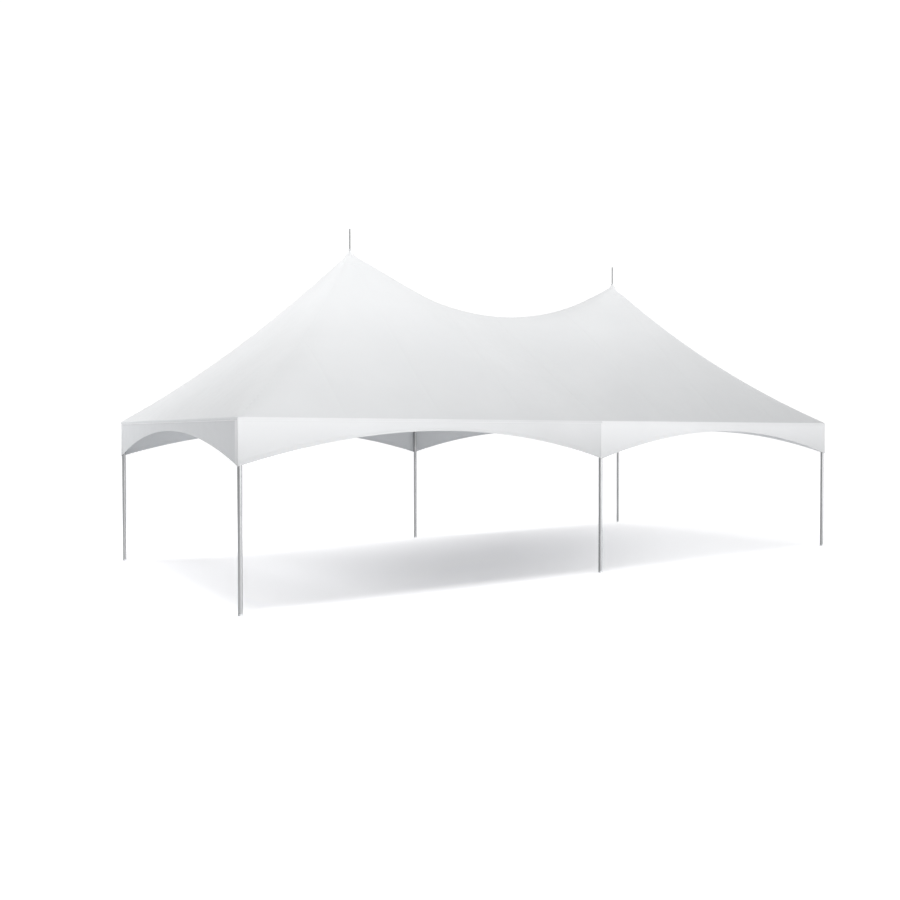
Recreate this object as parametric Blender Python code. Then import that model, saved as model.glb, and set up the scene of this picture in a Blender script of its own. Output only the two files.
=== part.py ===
"""Twin-peak marquee tent, 6.1 m x 12.2 m: six aluminium legs, eave beams, two masts
standing on crossed cables, and a white stretched roof with arched valances.

Frame: metres, +Z up, +X along the long side, origin on the ground at the centre.
The front is at -Y and the left end at -X.
"""
import math
from dataclasses import dataclass

import bmesh
import bpy
from mathutils import Matrix, Vector

# Overall sizes
HALF = 3.048              # half of one square bay, 20 ft across
EAVE_Z = 2.500            # top edge of the eave
PEAK_RISE = 2.900         # from the eave to the point where the slopes meet
SPIRE_TOP = 5.800
GAP = 0.0003              # clearance kept between touching pieces

# Frame tubes
TUBE_R = 0.030
TUBE_BORE = 0.027
TUBE_SIDES = 24
FOOT_PLATE = 0.006        # closed bottom of each leg
SPIGOT_R = 0.0265         # plugs that slide into the tubes
SPIGOT_LENGTH = 0.14
SPIGOT_SIDES = 14

# Leg heads
INSET = 0.0378            # from the roof's outer edge in to a leg's axis
LEG_X = 2 * HALF - INSET
LEG_Y = HALF - INSET
HEAD_R = 0.0335
HEAD_BOTTOM = 2.400
HEAD_TOP = 2.498
LEG_TOP = HEAD_BOTTOM - GAP
BEAM_Z = 2.483
BEAM_START = HEAD_R + GAP

# Masts, their feet and the cables that carry them
CABLE_R = 0.005
SWAGE_R = 0.011           # pressed sleeve at each end of a cable
SWAGE_LENGTH = 0.13
TURNBUCKLE_R = 0.016      # the screw that tightens the cable, near the leg's head
TURNBUCKLE = (0.20, 0.46)  # where it begins and ends along the cable
CABLE_SIDES = 10
BOSS_R = 0.013            # lug that a cable's end meets
LUG_START = 0.016         # where a lug begins, inside the body that carries it
HEAD_BOSS = 0.080
FOOT_BOSS = 0.085
CABLE_HEAD_Z = 2.432
CABLE_FOOT_Z = 2.288
FOOT_R = 0.045
FOOT_BOTTOM = 2.255
FOOT_TOP = 2.325
MAST_TOP = 5.318

# Finials: the cap that fills the hole in each peak, and the spire on it
CAP_R = 0.050
CAP_EDGE_Z = 5.372
CAP_POINT_Z = 5.400
COLLAR_R = 0.015
COLLAR_TOP = 5.440
SPIRE_R = 0.0105
SPIRE_SIDES = 16

# Cloth
CLOTH = 0.004             # modelled thickness; the real sheet is about 0.6 mm
ROOF_CELLS = 12           # cells from the eave to the ridge
RIDGE_LOW = 0.70          # height of the saddle between the peaks, as a share of the rise
SLOPE_SAG = 0.10          # how hollow a slope is between the eave and its top
HIP_SHARPNESS = 2.5       # larger is a crisper hip with less sag
VALANCE_MID = 0.170       # depth below the eave at mid-bay
VALANCE_LEG = 0.620       # depth below the eave at a leg
ARCH_SEGMENTS = 20


@dataclass
class Finish:
    name: str
    colour: tuple
    roughness: float
    metallic: float


ALUMINIUM = Finish("aluminium", (0.78, 0.79, 0.80), 0.35, 1.0)
STEEL = Finish("steel", (0.62, 0.63, 0.64), 0.30, 1.0)
VINYL = Finish("white_vinyl", (0.92, 0.92, 0.93), 0.55, 0.0)

# The plan: where the legs and masts stand
SIDES = {"front": -1, "back": 1}
BAYS = {"left": -1, "right": 1}
LEGS = {
    f"{side}_{place}": Vector((x_sign * LEG_X, y_sign * LEG_Y, 0))
    for side, y_sign in SIDES.items()
    for place, x_sign in (("left", -1), ("middle", 0), ("right", 1))
}
MASTS = {bay: Vector((sign * HALF, 0, 0)) for bay, sign in BAYS.items()}


def new_collection(name):
    group = bpy.data.collections.new(name)
    bpy.context.scene.collection.children.link(group)
    return group


def clear_scene():
    for obj in list(bpy.data.objects):
        bpy.data.objects.remove(obj, do_unlink=True)


def material(finish):
    made = bpy.data.materials.get(finish.name)
    if made is None:
        made = bpy.data.materials.new(finish.name)
        made.use_nodes = True
        shader = made.node_tree.nodes["Principled BSDF"]
        shader.inputs["Base Color"].default_value = (*finish.colour, 1.0)
        shader.inputs["Roughness"].default_value = finish.roughness
        shader.inputs["Metallic"].default_value = finish.metallic
    return made


def add_object(name, mesh, group, finish):
    mesh.materials.clear()
    mesh.materials.append(material(finish))
    obj = bpy.data.objects.new(name, mesh)
    group.objects.link(obj)
    return obj


def finished_mesh(bm, name, smooth):
    bmesh.ops.recalc_face_normals(bm, faces=bm.faces)
    mesh = bpy.data.meshes.new(name)
    bm.to_mesh(mesh)
    bm.free()
    if smooth:
        mesh.shade_smooth()
        mesh.set_sharp_from_angle(angle=math.radians(40))
    return mesh


def along(start, end):
    """Matrix that takes the Z axis to the line from start to end."""
    turn = (Vector(end) - Vector(start)).to_track_quat("Z", "Y")
    return Matrix.Translation(start) @ turn.to_matrix().to_4x4()


def turned(name, profile, sides, place, group, finish):
    """Body of revolution about Z. A profile of (radius, height) that doesn't start
    and end on the axis is closed into a ring."""
    bm = bmesh.new()
    verts = [bm.verts.new((radius, 0, height)) for radius, height in profile]
    pairs = list(zip(verts, verts[1:]))
    if profile[0][0] > 0:
        pairs.append((verts[-1], verts[0]))
    edges = [bm.edges.new(pair) for pair in pairs]
    bmesh.ops.spin(bm, geom=verts + edges, axis=(0, 0, 1), cent=(0, 0, 0),
                   angle=2 * math.pi, steps=sides, use_merge=True)
    bmesh.ops.remove_doubles(bm, verts=bm.verts, dist=0.00001)
    bmesh.ops.transform(bm, verts=bm.verts, matrix=place)
    return add_object(name, finished_mesh(bm, name, True), group, finish)


def rod(name, start, end, radius, sides, group, finish):
    """Solid cylinder between two points."""
    length = (Vector(end) - Vector(start)).length
    profile = [(0, length), (radius, length), (radius, 0), (0, 0)]
    return turned(name, profile, sides, along(start, end), group, finish)


def tube(name, start, end, group):
    """Open aluminium tube between two points."""
    length = (Vector(end) - Vector(start)).length
    profile = [(TUBE_BORE, length), (TUBE_R, length), (TUBE_R, 0), (TUBE_BORE, 0)]
    return turned(name, profile, TUBE_SIDES, along(start, end), group, ALUMINIUM)


def union(name, solids, group, finish):
    """Join overlapping solids into one with Boolean unions."""
    base = solids[0]
    for index, other in enumerate(solids[1:]):
        join = base.modifiers.new(f"join_{index}", "BOOLEAN")
        join.operation = "UNION"
        join.solver = "EXACT"
        join.object = other
    bpy.context.view_layer.update()
    evaluated = base.evaluated_get(bpy.context.evaluated_depsgraph_get())
    mesh = bpy.data.meshes.new_from_object(evaluated)
    for solid in solids:
        bpy.data.objects.remove(solid, do_unlink=True)
    mesh.name = name
    return add_object(name, mesh, group, finish)


def cable_line(leg, bay):
    """Axis of a mast cable, from the leg's head to the mast's foot."""
    head = LEGS[leg] + Vector((0, 0, CABLE_HEAD_Z))
    foot = MASTS[bay] + Vector((0, 0, CABLE_FOOT_Z))
    return head, foot


def cables():
    """Each mast cable as (leg, bay)."""
    return [(leg, bay) for bay in BAYS for leg in LEGS
            if leg.endswith((bay, "middle"))]


def make_legs(group):
    """Round legs, open at the top and closed by a plate at the foot."""
    profile = [(0, FOOT_PLATE), (TUBE_BORE, FOOT_PLATE), (TUBE_BORE, LEG_TOP),
               (TUBE_R, LEG_TOP), (TUBE_R, 0), (0, 0)]
    for name, place in LEGS.items():
        turned(f"leg_{name}", profile, TUBE_SIDES, Matrix.Translation(place),
               group, ALUMINIUM)


def beam_runs():
    """The eave and cross beams as name: (leg, leg)."""
    runs = {f"beam_{side}_{bay}": (f"{side}_{bay}", f"{side}_middle")
            for side in SIDES for bay in BAYS}
    for place in ("left", "middle", "right"):
        name = "cross_beam_middle" if place == "middle" else f"beam_end_{place}"
        runs[name] = (f"front_{place}", f"back_{place}")
    return runs


def make_beams(group):
    for name, (first, second) in beam_runs().items():
        start, end = (LEGS[leg] + Vector((0, 0, BEAM_Z)) for leg in (first, second))
        step = (end - start).normalized() * BEAM_START
        tube(name, start + step, end - step, group)


def make_leg_heads(group):
    """The casting on each leg: spigots into the leg and beams, lugs for the cables."""
    for leg, place in LEGS.items():
        centre = place + Vector((0, 0, BEAM_Z))
        solids = [
            rod("body", place + Vector((0, 0, HEAD_BOTTOM)),
                place + Vector((0, 0, HEAD_TOP)), HEAD_R, TUBE_SIDES, group, ALUMINIUM),
            rod("leg_spigot", place + Vector((0, 0, HEAD_BOTTOM - SPIGOT_LENGTH)),
                place + Vector((0, 0, HEAD_BOTTOM + LUG_START / 2)), SPIGOT_R,
                SPIGOT_SIDES, group, ALUMINIUM),
        ]
        reach = HEAD_R + SPIGOT_LENGTH
        x_ends = [-reach if place.x > -HALF else -LUG_START,
                  reach if place.x < HALF else LUG_START]
        solids.append(rod("x_spigot", centre + Vector((x_ends[0], 0, 0)),
                          centre + Vector((x_ends[1], 0, 0)), SPIGOT_R,
                          SPIGOT_SIDES, group, ALUMINIUM))
        inward = -math.copysign(1, place.y)
        solids.append(rod("y_spigot", centre - Vector((0, inward * LUG_START, 0)),
                          centre + Vector((0, inward * reach, 0)),
                          SPIGOT_R - GAP, SPIGOT_SIDES, group, ALUMINIUM))
        for cable_leg, bay in cables():
            if cable_leg == leg:
                head, foot = cable_line(leg, bay)
                way = (foot - head).normalized()
                solids.append(rod("lug", head + way * LUG_START, head + way * HEAD_BOSS,
                                  BOSS_R, CABLE_SIDES, group, ALUMINIUM))
        union(f"leg_head_{leg}", solids, group, ALUMINIUM)


def make_masts(group):
    """Each bay's mast, the foot that the cables carry, and the finial on top."""
    for bay, place in MASTS.items():
        def at(height, centre=place):
            return centre + Vector((0, 0, height))

        tube(f"mast_{bay}", at(FOOT_TOP + GAP), at(MAST_TOP), group)
        solids = [
            rod("hub", at(FOOT_BOTTOM), at(FOOT_TOP), FOOT_R, TUBE_SIDES, group, STEEL),
            rod("spigot", at(FOOT_TOP - LUG_START / 2), at(FOOT_TOP + SPIGOT_LENGTH),
                SPIGOT_R, SPIGOT_SIDES, group, STEEL),
        ]
        for leg, cable_bay in cables():
            if cable_bay == bay:
                head, foot = cable_line(leg, bay)
                way = (head - foot).normalized()
                solids.append(rod("lug", foot + way * LUG_START, foot + way * FOOT_BOSS,
                                  BOSS_R, CABLE_SIDES, group, STEEL))
        union(f"mast_foot_{bay}", solids, group, STEEL)
        make_finial(bay, place, group)


def make_finial(bay, place, group):
    """A plug in the mast's top, the cap that the cloth is stretched round, a collar
    and the spire."""
    cap_bottom = MAST_TOP + GAP
    profile = [
        (0, SPIRE_TOP), (SPIRE_R * 0.6, SPIRE_TOP - 0.002), (SPIRE_R, SPIRE_TOP - 0.012),
        (SPIRE_R, COLLAR_TOP), (COLLAR_R, COLLAR_TOP - 0.006), (COLLAR_R, CAP_POINT_Z),
        (CAP_R, CAP_EDGE_Z), (CAP_R, cap_bottom), (SPIGOT_R, cap_bottom),
        (SPIGOT_R, cap_bottom - SPIGOT_LENGTH), (0, cap_bottom - SPIGOT_LENGTH),
    ]
    turned(f"finial_{bay}", profile, SPIRE_SIDES, Matrix.Translation(place),
           group, ALUMINIUM)


def make_cables(group):
    """Taut wire ropes with a pressed sleeve at each end and a turnbuckle."""
    for leg, bay in cables():
        head, foot = cable_line(leg, bay)
        way = (foot - head).normalized()
        start = head + way * (HEAD_BOSS + GAP)
        end = foot - way * (FOOT_BOSS + GAP)
        length = (end - start).length
        near, far = TURNBUCKLE
        profile = [
            (0, length), (SWAGE_R, length), (SWAGE_R, length - SWAGE_LENGTH),
            (CABLE_R, length - SWAGE_LENGTH - SWAGE_R), (CABLE_R, far + SWAGE_R),
            (TURNBUCKLE_R, far), (TURNBUCKLE_R, near), (CABLE_R, near - SWAGE_R),
            (CABLE_R, SWAGE_LENGTH + SWAGE_R), (SWAGE_R, SWAGE_LENGTH), (SWAGE_R, 0), (0, 0),
        ]
        name = f"cable_{leg}" if bay in leg else f"cable_{leg}_to_{bay}"
        turned(name, profile, CABLE_SIDES, along(start, end), group, STEEL)


def hollow(share):
    """Height share along a slope that sags a little between its two ends."""
    return share - SLOPE_SAG * share * (1 - share)


def roof_height(x, y):
    """Height of the stretched roof over a point of the plan.

    Each half bay rises like a pyramid with soft, slightly hollow hips. Between the
    peaks the ridge hangs in a parabola, and the hips fade out into a saddle.
    """
    across = hollow(max(0.0, (HALF - abs(y)) / HALF))
    from_end = (2 * HALF - abs(x)) / HALF
    if from_end <= 1:
        length, fade = hollow(max(0.0, from_end)), 1.0
    else:
        fade = (abs(x) / HALF) ** 2
        length = RIDGE_LOW + (1 - RIDGE_LOW) * fade
    if across <= 0 or length <= 0:
        return EAVE_Z
    mean = math.sqrt(across * length)
    power = min(40.0, max(0.05, HIP_SHARPNESS * fade / max(1 - mean, 0.001)))
    share = (across ** -power + length ** -power - 1) ** (-1 / power)
    return EAVE_Z + PEAK_RISE * share


def cloth_solid(name, rows, group):
    """Closed sheet of cloth from rows of {column: (x, y, z)}, bottom row first. A row
    may have fewer columns than the one below it, and triangles then close its ends."""
    bm = bmesh.new()
    made = {}

    def vert(row, column):
        if (row, column) not in made:
            made[row, column] = bm.verts.new(rows[row][column])
        return made[row, column]

    for row in range(len(rows) - 1):
        lower, upper = set(rows[row]), set(rows[row + 1])
        for column in sorted(lower):
            if column + 1 not in lower:
                continue
            corners = [(row, column), (row, column + 1)]
            corners += [(row + 1, c) for c in (column + 1, column) if c in upper]
            if len(corners) > 2:
                bm.faces.new([vert(*corner) for corner in corners])
    bmesh.ops.triangulate(bm, faces=bm.faces, quad_method="LONG_EDGE")
    under = bmesh.ops.extrude_face_region(bm, geom=bm.faces[:], use_keep_orig=True)
    moved = [part for part in under["geom"] if isinstance(part, bmesh.types.BMVert)]
    bmesh.ops.translate(bm, verts=moved, vec=(0, 0, -CLOTH))
    return add_object(name, finished_mesh(bm, name, True), group, VINYL)


def roof_lines():
    """Distances in from the eave at which the roof's cells are divided."""
    return [HALF * cell / ROOF_CELLS for cell in range(ROOF_CELLS + 1)]


def long_slope(side, bay):
    """Rows of the front or back slope over one bay, from the eave up to the ridge."""
    x_sign, y_sign = BAYS[bay], SIDES[side]
    steps = roof_lines()
    columns = [2 * HALF - step for step in steps]
    columns += [HALF - step for step in steps[1:]]
    rows = []
    for index, step in enumerate(steps):
        row = {}
        for column in range(index, len(columns)):
            x, y = columns[column], HALF - step
            height = roof_height(x, y)
            if column == index:
                x -= GAP * 0.75
            x, y = max(x, GAP / 2), max(y, GAP / 2)
            row[column] = (x_sign * x, y_sign * y, height)
        rows.append(row)
    return rows


def end_slope(bay):
    """Rows of the end slope over one bay, from the eave up to the peak."""
    x_sign = BAYS[bay]
    steps = roof_lines()
    places = [HALF - step for step in steps]
    places += [-place for place in reversed(places[:-1])]
    rows = []
    for index, step in enumerate(steps):
        row = {}
        last = len(places) - 1 - index
        for column in range(index, last + 1):
            x, y = 2 * HALF - step, places[column]
            height = roof_height(x, y)
            if index < last and column in (index, last):
                y -= math.copysign(GAP * 0.75, y)
            row[column] = (x_sign * x, y, height)
        rows.append(row)
    return rows


def make_roof(group, cutters):
    """Six slopes of cloth, each with a share of the round hole at the peak."""
    slopes = {f"roof_{side}_{bay}": long_slope(side, bay) for side in SIDES for bay in BAYS}
    slopes.update({f"roof_end_{bay}": end_slope(bay) for bay in BAYS})
    holes = {}
    for bay, place in MASTS.items():
        holes[bay] = rod(f"peak_hole_{bay}", place + Vector((0, 0, EAVE_Z)),
                         place + Vector((0, 0, SPIRE_TOP)), CAP_R + GAP, SPIRE_SIDES,
                         cutters, VINYL)
        holes[bay].hide_render = True
        holes[bay].display_type = "WIRE"
    for name, rows in slopes.items():
        slope = cloth_solid(name, rows, group)
        cut = slope.modifiers.new("peak_hole", "BOOLEAN")
        cut.operation = "DIFFERENCE"
        cut.solver = "EXACT"
        cut.object = holes[name.split("_")[-1]]


def valance_outline(start, end):
    """Flat outline from start to end along the eave: a straight top and an arch below."""
    top = EAVE_Z - CLOTH - GAP
    points = [(end, top), (start, top)]
    middle, half = (start + end) / 2, HALF
    for step in range(ARCH_SEGMENTS + 1):
        along_eave = start + (end - start) * step / ARCH_SEGMENTS
        share = (along_eave - middle) / half
        depth = VALANCE_MID + (VALANCE_LEG - VALANCE_MID) * share ** 2
        points.append((along_eave, EAVE_Z - depth))
    return points


def valance(name, start, end, place, turn, group):
    """Upright sheet of cloth that hangs from the eave of one bay."""
    curve = bpy.data.curves.new(name, "CURVE")
    curve.dimensions = "2D"
    curve.fill_mode = "BOTH"
    curve.extrude = CLOTH / 2
    points = valance_outline(start, end)
    spline = curve.splines.new("POLY")
    spline.points.add(len(points) - 1)
    for point, (u, v) in zip(spline.points, points):
        point.co = (u, v, 0, 1)
    spline.use_cyclic_u = True
    curve.materials.append(material(VINYL))
    obj = bpy.data.objects.new(name, curve)
    obj.matrix_world = (Matrix.Translation(place) @ Matrix.Rotation(turn, 4, "Z")
                        @ Matrix.Rotation(math.pi / 2, 4, "X"))
    group.objects.link(obj)


def make_valances(group):
    """One valance for each bay of the long sides, and one for each end between them."""
    sheet = HALF - CLOTH / 2
    for side, y_sign in SIDES.items():
        for bay, x_sign in BAYS.items():
            ends = sorted((x_sign * 2 * HALF, x_sign * GAP / 2))
            valance(f"valance_{side}_{bay}", ends[0], ends[1],
                    Vector((0, y_sign * sheet, 0)), 0, group)
    reach = HALF - CLOTH - GAP
    for bay, x_sign in BAYS.items():
        valance(f"valance_end_{bay}", -reach, reach,
                Vector((x_sign * (sheet + HALF), 0, 0)), math.pi / 2, group)


clear_scene()
tent = new_collection("marquee_tent")
cutting = new_collection("cutters")
make_legs(tent)
make_beams(tent)
make_leg_heads(tent)
make_masts(tent)
make_cables(tent)
make_roof(tent, cutting)
make_valances(tent)
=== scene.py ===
"""Looks of the twin-peak marquee tent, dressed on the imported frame.

Metres, +Z up, +X along the long side. The front is at -Y and the left end at -X.
"""
import math

import bmesh
import bpy
from mathutils import Matrix, Vector
from mathutils.bvhtree import BVHTree


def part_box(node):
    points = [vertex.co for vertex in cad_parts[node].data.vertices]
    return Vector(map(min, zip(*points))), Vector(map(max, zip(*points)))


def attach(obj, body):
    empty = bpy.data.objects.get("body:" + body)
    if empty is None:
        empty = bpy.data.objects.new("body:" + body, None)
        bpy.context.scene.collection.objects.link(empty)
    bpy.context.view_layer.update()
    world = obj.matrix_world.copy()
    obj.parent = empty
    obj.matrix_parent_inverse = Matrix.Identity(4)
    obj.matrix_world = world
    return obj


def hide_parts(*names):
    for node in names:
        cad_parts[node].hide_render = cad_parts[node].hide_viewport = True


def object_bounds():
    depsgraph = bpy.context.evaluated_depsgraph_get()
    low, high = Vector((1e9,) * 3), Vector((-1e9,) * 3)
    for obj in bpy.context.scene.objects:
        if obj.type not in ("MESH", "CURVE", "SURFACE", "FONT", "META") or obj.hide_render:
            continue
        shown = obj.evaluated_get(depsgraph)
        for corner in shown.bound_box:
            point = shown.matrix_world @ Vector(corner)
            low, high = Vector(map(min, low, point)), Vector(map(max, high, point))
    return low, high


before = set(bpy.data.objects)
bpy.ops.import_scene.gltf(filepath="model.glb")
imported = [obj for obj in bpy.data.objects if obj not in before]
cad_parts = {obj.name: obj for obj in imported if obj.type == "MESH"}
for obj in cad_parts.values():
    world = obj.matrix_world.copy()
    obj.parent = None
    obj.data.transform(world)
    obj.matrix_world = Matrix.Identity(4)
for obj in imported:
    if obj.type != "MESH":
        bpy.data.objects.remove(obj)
cad_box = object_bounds()

# Driving sizes, as the frame is built
HALF = cad_box[1].y       # half of one square bay
EAVE_Z = 2.500
PEAK_RISE = 2.900
RIDGE_LOW = 0.70          # height of the saddle between the peaks, as a share of the rise
SLOPE_SAG = 0.10
HIP_SHARPNESS = 2.5
VALANCE_MID = 0.170       # depth below the eave at mid-bay
VALANCE_LEG = 0.620       # depth below the eave at a leg

# Leg axes and tubes
INSET = 0.0378            # from the outer edge in to the axes of legs and beams
AXIS_X = 2 * HALF - INSET
AXIS_Y = HALF - INSET
BEAM_Z = 2.483
TUBE_R = 0.030
TUBE_WALL = 0.003
FOOT_PLATE = 0.006
HEAD_BOTTOM = 2.400
HEAD_TOP = 2.498
HEAD_R = 0.0335
LOOSE = 0.0003            # gap round a part that slides on another
SNUG = 0.0002             # gap round a part that is pressed on another

# Mast feet and the cables that carry them
FOOT_R = 0.045
FOOT_BOTTOM = 2.255
FOOT_TOP = 2.325
CABLE_HEAD_Z = 2.432
CABLE_FOOT_Z = 2.288
HEAD_BOSS = 0.080         # from a leg's axis out to where its cable begins
FOOT_BOSS = 0.085         # from a mast's axis out to where its cables end
PIN = 0.012               # from a cable's end to its pin
TURNBUCKLE = (0.20, 0.46)  # where it begins and ends along the cable
ROPE_R = 0.005
ROPE_LAY = 0.085          # length of rope in which a strand goes once round
EYE_HALF = 0.0135         # half the height of the plates that the cables are pinned to
EYE_THICK = 0.009

# Cloth
CLOTH = 0.0014
HEM = 0.0024              # thickness where the cloth is folded double
HEM_WIDTH = 0.032
HEM_FOLD = 0.0015         # from the very edge to where the hem is at its full thickness
HEM_STEP = 0.001          # in which a hem thins out to the single cloth
SHOULDER_R = INSET        # the cloth turns down round the eave beam at this radius
FLAP_R = 0.0414           # the flap that hangs over the valance's top
FLAP_BOTTOM = 2.458
VALANCE_TOP = 2.475
VALANCE_R = 0.0370        # from the beam's axis out to the middle of the valance
LAP_SHIFT = 0.0014        # in or out where two valances lap
LAP = 0.055               # how far they lap
PIPING_R = 0.0035
HOLE_R = 0.052            # hole in each peak
CORNER_R = 0.010          # how sharply the cloth turns at the tent's corners

# The plan
SIDES = {"front": -1, "back": 1}
BAYS = {"left": -1, "right": 1}
LEGS = {
    f"{side}_{place}": Vector((x_sign * AXIS_X, y_sign * AXIS_Y, 0))
    for side, y_sign in SIDES.items()
    for place, x_sign in (("left", -1), ("middle", 0), ("right", 1))
}
MASTS = {bay: Vector((sign * HALF, 0, 0)) for bay, sign in BAYS.items()}
CABLES = [(leg, bay) for bay in BAYS for leg in LEGS if leg.endswith((bay, "middle"))]


def smooth_step(value, low, high):
    share = min(1.0, max(0.0, (value - low) / (high - low)))
    return share * share * (3 - 2 * share)


def turns(count, start=0.0):
    """Angles of so many equal steps once round a circle."""
    return [start + 2 * math.pi * step / count for step in range(count)]


def around(turn, radius, height=0.0):
    """Point at an angle round the Z axis."""
    return Vector((radius * math.cos(turn), radius * math.sin(turn), height))


def up(height):
    return Matrix.Translation((0, 0, height))


UP = Vector((0, 0, 1))
SIDEWAYS = Matrix.Rotation(math.pi / 2, 4, "Y")  # takes the Z axis to the X axis


def along(start, end):
    """Matrix that takes the Z axis to the line from start to end."""
    turn = (Vector(end) - Vector(start)).to_track_quat("Z", "Y")
    return Matrix.Translation(start) @ turn.to_matrix().to_4x4()


# Materials


class Nodes:
    """Short way to add nodes to a material or world and to join their sockets."""

    def __init__(self, owner, shader="Principled BSDF"):
        owner.use_nodes = True
        self.tree = owner.node_tree
        self.shader = self.tree.nodes[shader]

    def add(self, kind, inputs=(), **settings):
        node = self.tree.nodes.new(kind)
        for key, value in settings.items():
            setattr(node, key, value)
        for key, value in dict(inputs).items():
            self.put(node.inputs[key], value)
        return node

    def put(self, socket, value):
        if isinstance(value, bpy.types.NodeSocket):
            self.tree.links.new(value, socket)
        else:
            socket.default_value = value

    def set(self, **values):
        for key, value in values.items():
            self.put(self.shader.inputs[key.replace("_", " ")], value)

    def place(self, kind="Object"):
        return self.add("ShaderNodeTexCoord").outputs[kind]

    def apart(self, vector):
        return self.add("ShaderNodeSeparateXYZ", {"Vector": vector}).outputs

    def noise(self, vector, scale, detail=3.0, roughness=0.55):
        return self.add("ShaderNodeTexNoise", {
            "Vector": vector, "Scale": scale, "Detail": detail,
            "Roughness": roughness}).outputs["Fac"]

    def ribs(self, axis, scale, distortion=0.0):
        """Bands that follow one another along an axis of the cloth's own coordinates."""
        cloth = self.add("ShaderNodeUVMap", uv_map="cloth").outputs["UV"]
        return self.add("ShaderNodeTexWave", {
            "Vector": cloth, "Scale": scale, "Distortion": distortion},
            wave_type="BANDS", bands_direction=axis).outputs["Fac"]

    def ramp(self, value, start, end, low=0.0, high=1.0, kind="LINEAR"):
        """Goes from low to high while the value goes from start to end."""
        return self.add("ShaderNodeMapRange", {
            "Value": value, "From Min": start, "From Max": end,
            "To Min": low, "To Max": high}, interpolation_type=kind).outputs["Result"]

    def soft(self, value, start, end, low=0.0, high=1.0):
        return self.ramp(value, start, end, low, high, "SMOOTHSTEP")

    def spread(self, value, low, high):
        """Noise around a half, stretched to the range from low to high."""
        return self.ramp(value, 0.3, 0.7, low, high)

    def mix(self, share, first, second):
        return self.add("ShaderNodeMix", {0: share, 2: first, 3: second},
                        data_type="FLOAT").outputs[0]

    def blend(self, share, first, second):
        """Mix of two colours."""
        return self.add("ShaderNodeMix", {0: share, 6: (*first, 1.0), 7: (*second, 1.0)},
                        data_type="RGBA").outputs[2]

    def math(self, operation, *values):
        return self.add("ShaderNodeMath", enumerate(values), operation=operation).outputs[0]

    def vector(self, operation, *values, result="Vector"):
        return self.add("ShaderNodeVectorMath", enumerate(values),
                        operation=operation).outputs[result]

    def bump(self, height, depth, **inputs):
        return self.add("ShaderNodeBump", {"Height": height, "Distance": depth,
                                           "Strength": 1.0, **inputs}).outputs[0]


def vinyl(name, light_tone, dark_tone, tint, down, across=(0, 1, 0)):
    """Coated cloth: a cool white with the weave of its scrim just showing through. It greys a
    little at random with dust. It is also painted darker from one height to another, and from
    one place along the tent to another, each by the share that is given: painted shade."""
    material = bpy.data.materials.new(name)
    made = Nodes(material)
    place = made.place()
    apart = made.apart(place)
    dust_and_shade = made.spread(made.noise(place, 0.9, 4.0), 0.0, 0.10)
    # Random dust, then the ramps of painted shade down the cloth and along the tent
    for axis, (start, end, share) in (("Z", down), ("X", across)):
        dust_and_shade = made.math("ADD", dust_and_shade, made.ramp(apart[axis], start, end, 0.0, share))
    tones = [(grey - tint, grey, grey + tint) for grey in (light_tone, dark_tone)]
    threads = made.math("MULTIPLY", made.ribs("X", 150.0), made.ribs("Y", 150.0))
    creases = made.bump(made.noise(place, 3.5, 5.0, 0.6), 0.0006)
    made.set(Base_Color=made.blend(dust_and_shade, *tones), IOR=1.45,
             Roughness=made.spread(made.noise(place, 7.0), 0.46, 0.58),
             Normal=made.bump(threads, 0.00006, Normal=creases))
    return material


def valance_cloths(face, looks):
    """Cloths of one face of the valances: the left bay's, the right bay's and the ends'."""
    return {cloth_of: vinyl(f"valance_{face}_{cloth_of}", light_tone, dark_tone, tint,
                            (EAVE_Z, EAVE_Z - VALANCE_LEG, low), *across)
            for cloth_of, (light_tone, dark_tone, tint, low, *across) in looks.items()}


def metal(name, light, dark, roughness, stretch=(40, 40, 40), depth=0.00002, metallic=1.0):
    """Bare or plated metal, with the streaks and dull patches left by drawing or casting."""
    material = bpy.data.materials.new(name)
    made = Nodes(material)
    place = made.place()
    mapped = made.add("ShaderNodeMapping", {"Vector": place, "Scale": stretch}).outputs[0]
    grain = made.noise(mapped, 1.0, 4.0, 0.6)
    made.set(Base_Color=made.blend(made.spread(made.noise(place, 6.0), 0.0, 1.0), light, dark),
             Roughness=made.spread(grain, *roughness),
             Metallic=metallic, Normal=made.bump(grain, depth))
    return material


def webbing():
    """Woven polyester strap, with ribs across it."""
    material = bpy.data.materials.new("webbing")
    made = Nodes(material)
    ribs = made.ribs("X", 60.0, 0.4)
    made.set(Base_Color=made.blend(ribs, (0.74, 0.74, 0.73), (0.86, 0.86, 0.85)),
             Roughness=0.8, Normal=made.bump(ribs, 0.0004))
    return material


DRAWN = {"x": (1.5, 90, 90), "y": (90, 1.5, 90), "z": (90, 90, 1.5)}
ALUMINIUM = {axis: metal(f"drawn_aluminium_{axis}", (0.36, 0.365, 0.37), (0.33, 0.335, 0.34),
                         (0.36, 0.46), stretch) for axis, stretch in DRAWN.items()}
SPIRE_METAL = metal("spire_metal", (0.24, 0.245, 0.25), (0.20, 0.205, 0.21), (0.50, 0.62),
                    (90, 90, 6), 0.00001, 0.6)
CAST = metal("cast_aluminium", (0.60, 0.61, 0.62), (0.52, 0.53, 0.54), (0.42, 0.58),
             (260, 260, 260), 0.00008)
STEEL = metal("bright_steel", (0.62, 0.62, 0.62), (0.54, 0.54, 0.55), (0.22, 0.36),
              (120, 120, 120))
ZINC = metal("galvanised_steel", (0.58, 0.59, 0.60), (0.46, 0.47, 0.49), (0.34, 0.55),
             (55, 55, 55), 0.00004)
WEBBING = webbing()
# The roof is painted darker towards its eaves, and from its left end to just right of the
# middle: painted shade.
ROOF_VINYL = vinyl("roof_vinyl", 0.723, 0.533, 0.008, (4.4, EAVE_Z, 0.63),
                   (-2 * HALF, 1.5, 0.23))
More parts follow.
